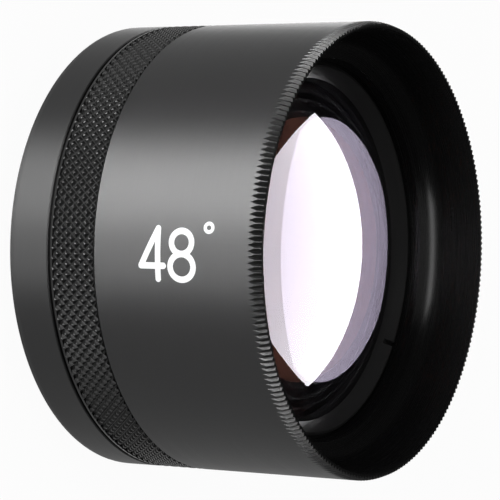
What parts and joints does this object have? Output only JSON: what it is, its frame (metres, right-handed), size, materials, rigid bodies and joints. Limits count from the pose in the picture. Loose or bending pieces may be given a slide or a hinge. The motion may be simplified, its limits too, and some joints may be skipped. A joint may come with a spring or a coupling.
{
  "type": "phone telephoto lens",
  "caption": "Screw-on telephoto converter lens for a phone: round black metal barrel with flared toothed hood, knurled grip ring, large convex front glass and threaded rear stub.",
  "frame": {"origin": "centre of the rear rim of the threaded stub, which the lens stands on", "axes": "+Z along the optical axis, out of the front glass; +Y and +X across it"},
  "size_m": [0.05, 0.05, 0.035],
  "materials": {
    "hood_metal": "satin black anodised, turned",
    "grip_metal": "satin black anodised, diamond knurled",
    "rear_metal": "satin black anodised, turned",
    "ring_metal": "matt black anodised",
    "front_glass": "polished, coated",
    "flint_glass": "polished",
    "seat_nylon": "matt black",
    "core_metal": "matt black anodised",
    "baffle_metal": "matt black, grooved",
    "cell_metal": "matt black anodised",
    "middle_glass": "polished, coated",
    "cell_ring_metal": "black anodised",
    "stop_metal": "matt black",
    "rear_glass": "polished, coated",
    "plate_metal": "satin black anodised, turned",
    "stub_metal": "satin black anodised, threaded",
    "screw_steel": "black oxide steel"
  },
  "bodies": {
    "root": {"front_hood": "hood_metal", "knurled_ring": "grip_metal", "rear_barrel": "rear_metal", "front_retaining_ring": "ring_metal", "front_element": "front_glass", "second_element": "flint_glass", "front_seat_ring": "seat_nylon", "inner_barrel": "core_metal", "front_baffle": "baffle_metal", "middle_cell": "cell_metal", "middle_element": "middle_glass", "middle_retaining_ring": "cell_ring_metal", "aperture_stop": "stop_metal", "rear_cell": "cell_metal", "rear_positive_element": "rear_glass", "rear_negative_element": "rear_glass", "rear_retaining_ring": "cell_ring_metal", "mount_flange": "plate_metal", "mount_ring": "stub_metal", "flange_screw_1": "screw_steel", "flange_screw_2": "screw_steel", "flange_screw_3": "screw_steel"}
  },
  "joints": []
}
